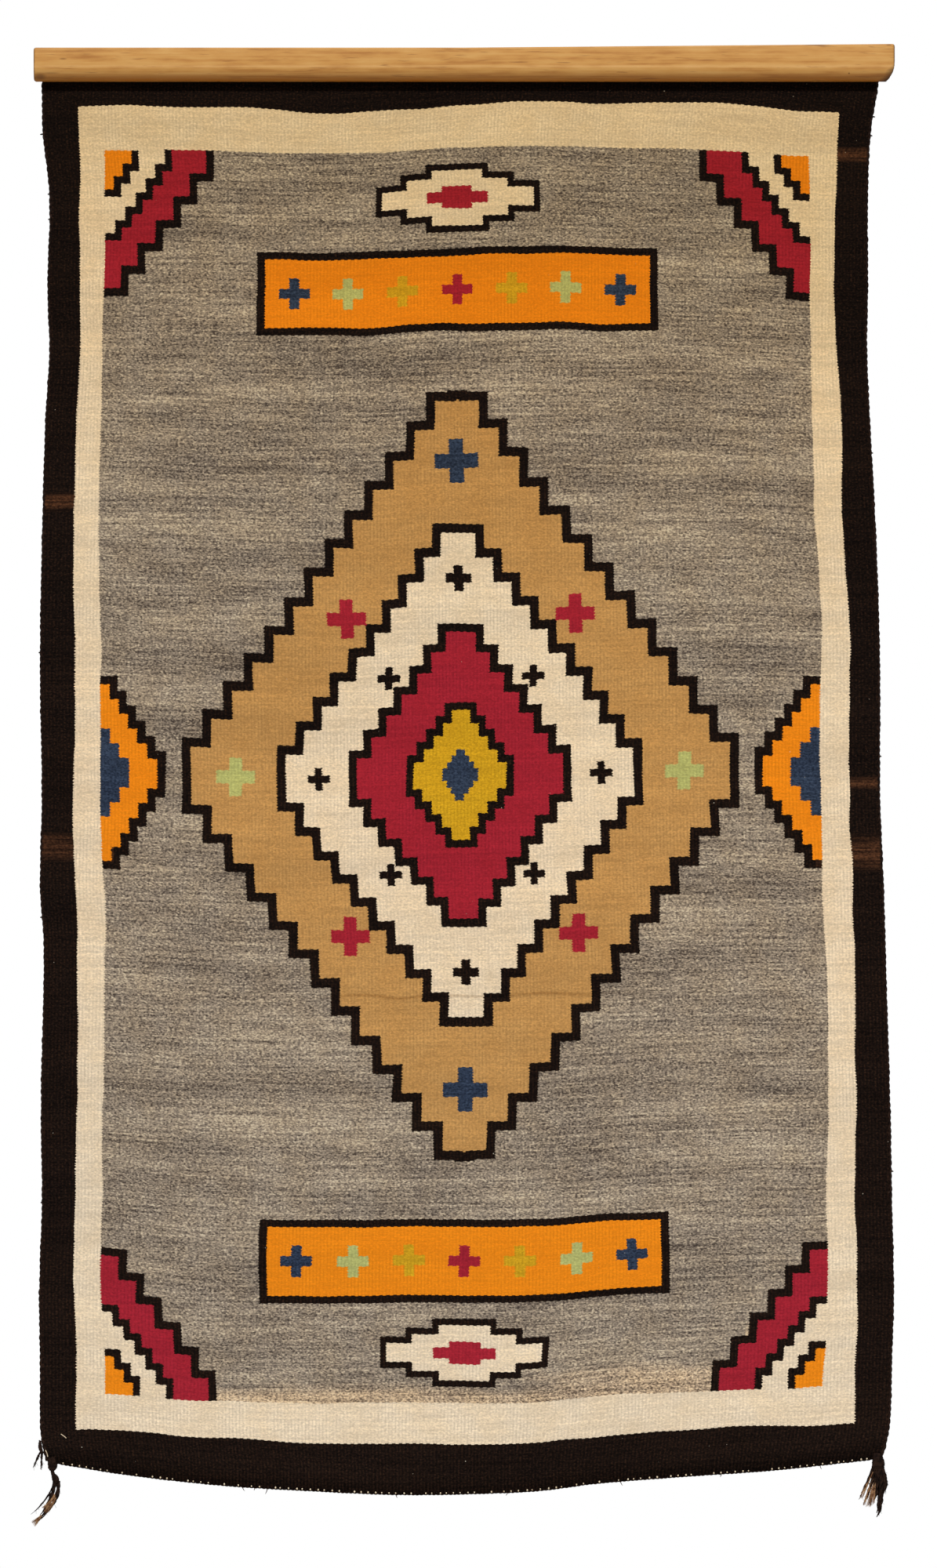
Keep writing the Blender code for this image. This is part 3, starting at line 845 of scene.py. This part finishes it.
def make_tassel(node, knot, locks, layers, faded, depth, plies):
    """A wrapped knot, locks of plied yarn below it in layers one behind another, and faded loose fibres."""
    sections = [
        (Vector((x * MM, depth, BAR_UNDERSIDE - drop * MM)), width / 2 * MM, deep / 2 * MM)
        for x, drop, width, deep in knot
    ]
    bm = bmesh.new()
    ring = bmesh.ops.create_circle(bm, cap_ends=True, segments=KNOT_SIDES, radius=1.0)["verts"]
    for k, (centre, half_width, half_depth) in enumerate(sections):
        if k:
            rim = [edge for edge in bm.edges if all(corner in ring for corner in edge.verts)]
            grown = bmesh.ops.extrude_edge_only(bm, edges=rim)["geom"]
            ring = [item for item in grown if isinstance(item, bmesh.types.BMVert)]
            low_centre, low_width, low_depth = sections[k - 1]
        for corner in ring:
            if k:
                across = (corner.co.x - low_centre.x) / low_width
                forward = (corner.co.y - low_centre.y) / low_depth
            else:
                across, forward = corner.co.x, corner.co.y
            corner.co = centre + Vector((across * half_width, forward * half_depth, 0))
    bmesh.ops.holes_fill(bm, edges=[edge for edge in bm.edges if edge.is_boundary])
    bmesh.ops.recalc_face_normals(bm, faces=bm.faces[:])
    knot_core = object_from(bm, node + "_knot", dark_yarn)

    yarns = new_yarns(node + "_yarns", dark_yarn)
    wraps = []
    for (low, low_width, low_depth), (high, high_width, high_depth) in zip(sections, sections[1:]):
        turns = (high.z - low.z) / MM / KNOT_WRAP_PITCH
        steps = max(2, round(turns * 10))
        for k in range(steps):
            share = k / steps
            centre = low.lerp(high, share)
            angle = 2 * math.pi * turns * share + 7.0 * low.z / MM
            reach_x = low_width + (high_width - low_width) * share
            reach_y = low_depth + (high_depth - low_depth) * share
            lean = (0.8 * math.sin(angle) + 1.2 * noise.noise(Vector((angle * 0.4, 2.0, low.x)))) * MM
            wraps.append(centre + Vector((reach_x * math.cos(angle), reach_y * math.sin(angle), lean)))
    add_strand(yarns, wraps, [(0.42 + 0.35 * noise.noise(wrap * 400)) * MM for wrap in wraps])

    base, base_width, base_depth = sections[0]
    for layer, (shift_x, shift_drop) in enumerate(layers):
        back = ((layer + 0.5) / len(layers) - 0.5) * 2 * base_depth
        for column, (bend_x, bend_drop, tip_x, tip_drop, width) in enumerate(locks):
            aside = ((column + 0.5) / len(locks) - 0.5) * 2 * base_width
            root = base + Vector((aside, back, 0.8 * MM))
            bend, tip = (
                Vector(((x + shift_x) * MM, depth + back, BAR_UNDERSIDE - (drop + shift_drop) * MM))
                for x, drop in ((bend_x, bend_drop), (tip_x, tip_drop))
            )
            middle = curved(root, bend, tip, LOCK_STEPS)
            for ply in range(plies):
                wobble = [
                    noise.noise(Vector((k * 0.35, column * 3 + layer, ply))) for k in range(LOCK_STEPS + 1)
                ]
                strand = middle[: LOCK_STEPS + 1 - 2 * ply]
                reach = [width * MM * (0.22 + 0.16 * w) for w in wobble]
                route = wound(strand, reach, LOCK_LAY, ply / plies + 0.13 * column)
                radii = [
                    width * MM * (0.27 + 0.1 * w) * (1 - 0.75 * (k / (len(strand) - 1)) ** 5)
                    for k, w in enumerate(wobble[: len(strand)])
                ]
                add_strand(yarns, route, radii)
            for hair in range(FUZZ_HAIRS):
                off = stray(hair, column, layer)
                start = middle[2 + (hair * 7) % (LOCK_STEPS - 4)] + off * 0.5 * width * MM
                end = start + off * 5 * MM + Vector((0, 0, -2.5 * MM))
                hair_bend = (start + end) / 2 + Vector((off.z, 0, off.x)) * 1.5 * MM
                add_strand(yarns, curved(start, hair_bend, end, 5), [0.13 * MM] * 6)

    pieces = [knot_core, yarns]
    if faded:
        fray = new_yarns(node + "_faded_ends", faded_fibre)
        pieces.append(fray)
    for number, (root_x, root_drop, bend_x, bend_drop, tip_x, tip_drop) in enumerate(faded):
        root, bend, tip = (
            Vector((x * MM, depth - 0.8 * base_depth, BAR_UNDERSIDE - drop * MM))
            for x, drop in ((root_x, root_drop), (bend_x, bend_drop), (tip_x, tip_drop))
        )
        for hair in range(FADED_HAIRS):
            off = stray(hair, number, 5)
            points = curved(root + off * MM, bend + off * 2.4 * MM, tip + off * 3.0 * MM, 9)
            add_strand(fray, points, [0.34 * MM * min(1, 0.2 + 0.3 * k) * (1 - 0.07 * k) for k in range(10)])
    for piece in pieces:
        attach(piece, "root")
    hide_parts(node)


left_depth, right_depth = cloth_point(0.0, 1.0).y, cloth_point(1.0, 1.0).y
right_layers = [(0.0, 0.0), (1.4, -3.2), (-1.2, 2.6)]
make_tassel("corner_tassel_left", LEFT_KNOT, LEFT_LOCKS, [(0.0, 0.0)], LEFT_FADED, left_depth, plies=3)
make_tassel("corner_tassel_right", RIGHT_KNOT, RIGHT_LOCKS, right_layers, RIGHT_FADED, right_depth, plies=3)

top, bottom = (BAR_UNDERSIDE - cloth_point(0.0, share).z for share in (0.0, 1.0))
tie_knot = []
for drop_mm, width, deep in TIE_KNOT:
    cord_edge = cloth_point(0.0, (drop_mm * MM - top) / (bottom - top)).x - 2 * (SIDE_CORD_RADIUS + GAP)
    tie_knot.append((cord_edge / MM - width / 2, drop_mm, width, deep))
make_tassel("side_cord_tie", tie_knot, TIE_LOCKS, [(0.0, 0.0)], [], left_depth, plies=2)

# The hanging bar
# A length of pine, planed flat on top and behind, with its lower front edge rounded over and a rebate
# behind for the cloth. It has aged to a warm tan, and its right end is worn away below.
BAR_LEFT = -466 * MM
BAR_RIGHT = 466 * MM
BAR_DEPTH = 22 * MM
BAR_TOP = 11 * MM
BAR_TOP_AT_RIGHT = 15 * MM
BAR_ROUND_START = -8.5 * MM
BAR_ROUND_STEPS = 20
BAR_ARRIS = 1.6 * MM
BAR_ARRIS_STEPS = 4
BAR_FLAT_UNDER_ROUND = 3 * MM
BAR_STATIONS = 40
BAR_END_ROUND = 2.6 * MM  # the ends are worn round by this much
BAR_END_STEPS = 5
REBATE_DEPTH = 4.9 * MM
PLANED_AND_WORN = {"Roughness": 0.58, "Specular IOR Level": 0.35}
WORN_END_CUTS = [
    # inset from the end, height above the underside, lean of the cut in degrees
    (0.2, 19.0, 6),
    (0.9, 13.5, 16),
    (2.6, 8.5, 30),
    (5.6, 3.4, 45),
]
BAR_MARKS = [
    # x and z of the middle, half width and half height, all in millimetres, and how dark it is
    (-434.0, -1.2, 4.3, 1.1, 0.6),
    (416.5, -16.8, 1.1, 0.9, 0.9),
    (382.0, 13.6, 15.0, 0.6, 0.7),
    (459.5, 13.8, 3.4, 0.7, 0.8),
    (-459.0, -20.0, 6.5, 4.0, 0.6),
    (-447.0, -16.5, 9.0, 1.3, 0.35),
]

rebate_top = BAR_UNDERSIDE + REBATE_HEIGHT
round_foot = -REBATE_DEPTH - BAR_FLAT_UNDER_ROUND
bar_profile = [
    (0.0, BAR_TOP),
    (0.0, rebate_top),
    (-REBATE_DEPTH, rebate_top),
    (-REBATE_DEPTH, BAR_UNDERSIDE),
]
for step in range(BAR_ROUND_STEPS + 1):
    turn = math.pi / 2 * step / BAR_ROUND_STEPS
    forward = round_foot - (BAR_DEPTH + round_foot) * math.sin(turn)
    up = BAR_ROUND_START - (BAR_ROUND_START - BAR_UNDERSIDE) * math.cos(turn)
    bar_profile.append((forward, up))
for step in range(BAR_ARRIS_STEPS + 1):
    turn = math.pi / 2 * step / BAR_ARRIS_STEPS
    forward = -BAR_DEPTH + BAR_ARRIS * (1 - math.cos(turn))
    bar_profile.append((forward, BAR_TOP - BAR_ARRIS * (1 - math.sin(turn))))

# Where the bar's sections stand, and how far the rounded ends draw them in
end_turns = [math.pi / 2 * step / BAR_END_STEPS for step in range(BAR_END_STEPS + 1)]
end_rounds = [
    (BAR_END_ROUND * (1 - math.sin(turn)), BAR_END_ROUND * (1 - math.cos(turn))) for turn in end_turns
]
left_end = [(BAR_LEFT + drawn, inset) for inset, drawn in end_rounds]
right_end = [(BAR_RIGHT - drawn, inset) for inset, drawn in reversed(end_rounds)]
between = [
    (BAR_LEFT + (BAR_RIGHT - BAR_LEFT) * station / BAR_STATIONS, 0.0) for station in range(1, BAR_STATIONS)
]
bar_middle = Vector((0, -BAR_DEPTH / 2, (BAR_TOP + BAR_UNDERSIDE) / 2))
half_height = (BAR_TOP - BAR_UNDERSIDE) / 2

bm = bmesh.new()
front = [bm.verts.new((0, forward, up)) for forward, up in bar_profile]
cap = bm.faces.new(front)
at, inset_before = 0.0, 0.0
for station, (place, inset) in enumerate(left_end + between + right_end):
    corners = cap.verts[:]
    if station:
        grown = bmesh.ops.extrude_face_region(bm, geom=[cap])["geom"]
        if station > 1:
            bmesh.ops.delete(bm, geom=[cap], context="FACES")
        corners = [item for item in grown if isinstance(item, bmesh.types.BMVert)]
        cap = next(item for item in grown if isinstance(item, bmesh.types.BMFace))
    bmesh.ops.translate(bm, verts=corners, vec=(place - at, 0, 0))
    bmesh.ops.scale(
        bm,
        verts=corners,
        vec=(
            1,
            (BAR_DEPTH / 2 - inset) / (BAR_DEPTH / 2 - inset_before),
            (half_height - inset) / (half_height - inset_before),
        ),
        space=Matrix.Translation(-bar_middle),
    )
    at, inset_before = place, inset
for corner in bm.verts:
    if corner.co.x > 0 and corner.co.z > BAR_ROUND_START + MM:
        corner.co.z += (BAR_TOP_AT_RIGHT - BAR_TOP) * corner.co.x / BAR_RIGHT
for inset, above, lean in WORN_END_CUTS:
    turn = math.radians(lean)
    bmesh.ops.bisect_plane(
        bm,
        geom=bm.verts[:] + bm.edges[:] + bm.faces[:],
        plane_co=(BAR_RIGHT - inset * MM, 0, BAR_UNDERSIDE + above * MM),
        plane_no=(math.cos(turn), 0, -math.sin(turn)),
        clear_outer=True,
    )
    bmesh.ops.holes_fill(bm, edges=[edge for edge in bm.edges if edge.is_boundary])
bmesh.ops.recalc_face_normals(bm, faces=bm.faces[:])
end_edges = [edge for edge in bm.edges if any(abs(face.normal.x) > 0.5 for face in edge.link_faces)]
bmesh.ops.bevel(bm, geom=end_edges, offset=0.5 * MM, segments=2, profile=0.5, affect="EDGES", material=-1)
for face in bm.faces:
    face.material_index = 1 if abs(face.normal.x) > 0.6 else 0
for edge in bm.edges:
    edge.smooth = edge.is_boundary or edge.calc_face_angle(0.0) < math.radians(35)
bar = object_from(bm, "pine_bar")


def pine_material(name, pale, deep, grain_scale):
    """Aged pine: straight fine grain along the bar, warmer patches, brown streaks and specks low down, and a
    pale band of painted highlight where the rounding starts.
    """
    pine = bpy.data.materials.new(name)
    pine.use_nodes = True
    tree = pine.node_tree
    place = add_node(tree, "TexCoord").outputs["Object"]
    grain_place = add_node(tree, "Mapping", {"Vector": place, "Scale": grain_scale})
    grain = add_node(
        tree, "TexNoise", {"Vector": grain_place, "Scale": 1.0, "Detail": 4.0, "Distortion": 0.6}
    )
    patch_place = add_node(tree, "Mapping", {"Vector": place, "Scale": (26.0, 90.0, 130.0)})
    patch = add_node(tree, "TexNoise", {"Vector": patch_place, "Scale": 1.0, "Detail": 3.0})
    blend = add_node(tree, "Math", [patch, 0.6], operation="MULTIPLY")
    blend = add_node(tree, "Math", [grain, 0.6, blend], operation="MULTIPLY_ADD")
    colour = add_node(tree, "ValToRGB", [blend])
    set_ramp(colour, [(0.42, linear(deep)), (0.60, linear(pale)), (0.80, linear("#cf9d58"))])
    place_xyz = add_node(tree, "SeparateXYZ", [place])
    height = place_xyz.outputs["Z"]
    low_down = add_node(tree, "MapRange", [height, -16 * MM, -24 * MM, 0.0, 1.4])
    low_patch = add_node(tree, "Math", [low_down, patch], operation="MULTIPLY")
    # A pale band just below the edge where the rounding starts is a painted highlight, stronger in some
    # patches
    from_arris = add_node(tree, "Math", [height, BAR_ROUND_START - 0.9 * MM], operation="SUBTRACT")
    from_arris = add_node(tree, "Math", [from_arris], operation="ABSOLUTE")
    painted_highlight_band = add_node(tree, "MapRange", [from_arris, 2.2 * MM, 0.3 * MM, 0.0, 0.9])
    painted_highlight_band = add_node(tree, "Math", [painted_highlight_band, patch], operation="MULTIPLY")
    dash_place = add_node(tree, "Mapping", {"Vector": place, "Scale": (38.0, 300.0, 520.0)})
    dash = add_node(tree, "TexNoise", {"Vector": dash_place, "Scale": 1.0, "Detail": 2.0})
    dash_mask = add_node(tree, "MapRange", [dash, 0.64, 0.76, 0.0, 0.55])
    marks_and_highlight = [(low_patch, "#b6690e"), (painted_highlight_band, "#dcab6c"), (dash_mask, "#7c4a22")]
    for x, z, half_width, half_depth, darkness in BAR_MARKS:
        off_mark = add_node(tree, "VectorMath", [place, (x * MM, 0, z * MM)], operation="SUBTRACT")
        per_size = (1 / MM / half_width, 0, 1 / MM / half_depth)
        off_mark = add_node(tree, "VectorMath", [off_mark, per_size], operation="MULTIPLY")
        off_mark = add_node(tree, "VectorMath", [off_mark], operation="LENGTH")
        on_mark = add_node(tree, "MapRange", [off_mark.outputs["Value"], 1.2, 0.4, 0.0, darkness])
        marks_and_highlight.append((on_mark, "#74471b"))
    from_corner = add_node(tree, "Math", [place_xyz.outputs["X"], height], operation="SUBTRACT")
    from_corner = add_node(tree, "Math", [patch, 0.012, from_corner], operation="MULTIPLY_ADD")
    bruise = add_node(tree, "MapRange", [from_corner, 0.477, 0.486, 0.0, 0.9])
    marks_and_highlight.append((bruise, "#4a2c15"))
    for share, mark_colour in marks_and_highlight:
        layers = {"Factor": share, 6: colour, 7: linear(mark_colour)}
        colour = add_node(tree, "Mix", layers, data_type="RGBA").outputs[2]
    bump = add_node(tree, "Bump", {"Height": grain, "Strength": 0.25, "Distance": 0.3 * MM})
    feed(tree.nodes["Principled BSDF"], {"Base Color": colour, "Normal": bump, **PLANED_AND_WORN})
    return pine


bar.data.materials.append(pine_material("aged_planed_pine", "#c58e48", "#ac7233", (7.0, 300.0, 300.0)))
bar.data.materials.append(pine_material("sawn_pine_end", "#a5763f", "#7c5328", (60.0, 300.0, 300.0)))
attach(bar, "root")
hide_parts("hanging_bar")

# The studio
# A plain pale floor below the hanging rug, a white surround and soft lights. The camera looks straight
# at the rug from in front, level with its middle.
FLOOR_HEIGHT = -2.05
CAMERA_DISTANCE = 12.0
VIEW_MIDDLE = (4.7 * MM, -786 * MM)
VIEW_HEIGHT = 1.70
SENSOR_WIDTH = 36

bm = bmesh.new()
bmesh.ops.create_grid(bm, x_segments=1, y_segments=1, size=1.6)
bmesh.ops.translate(bm, verts=bm.verts, vec=(0, -1.1, FLOOR_HEIGHT))
floor_paint = bpy.data.materials.new("matt_pale_paint")
floor_paint.use_nodes = True
feed(floor_paint.node_tree.nodes["Principled BSDF"], {"Base Color": linear("#e6e3dd"), "Roughness": 0.9})
floor = object_from(bm, "floor", floor_paint)

surround = bpy.data.worlds.new("white_surround")
surround.use_nodes = True
air = surround.node_tree
path = add_node(air, "LightPath")
seen = add_node(air, "Background", {"Color": (1, 1, 1, 1), "Strength": 1.0})
glow = add_node(air, "Background", {"Color": (1, 1, 1, 1), "Strength": 0.16})
mixed = add_node(air, "MixShader", [path.outputs["Is Camera Ray"], glow, seen])
feed(air.nodes["World Output"], {"Surface": mixed})
bpy.context.scene.world = surround
bpy.context.scene.view_settings.view_transform = "Standard"

for name, kind, place, size, power in [
    ("high_key_light", "SUN", (-1.0, -3.9, 3.5), math.radians(3.5), 3.2),
    ("soft_fill_light", "AREA", (2.4, -5.0, 0.2), 2.4, 34),
    ("back_light", "AREA", (0.6, 3.0, 0.8), 1.6, 22),
]:
    lamp = bpy.data.lights.new(name, kind)
    setattr(lamp, "angle" if kind == "SUN" else "size", size)
    lamp.energy = power
    light = bpy.data.objects.new(name, lamp)
    light.location = place
    aim = Vector((0, 0, VIEW_MIDDLE[1])) - light.location
    light.rotation_euler = aim.to_track_quat("-Z", "Y").to_euler()
    bpy.context.scene.collection.objects.link(light)

lens = bpy.data.cameras.new("camera")
lens.sensor_fit = "AUTO"
lens.sensor_width = SENSOR_WIDTH
lens.lens = SENSOR_WIDTH * CAMERA_DISTANCE / VIEW_HEIGHT
camera = bpy.data.objects.new("camera", lens)
camera.location = (VIEW_MIDDLE[0], -CAMERA_DISTANCE, VIEW_MIDDLE[1])
camera.rotation_euler = (math.pi / 2, 0, 0)
bpy.context.scene.collection.objects.link(camera)
bpy.context.scene.camera = camera
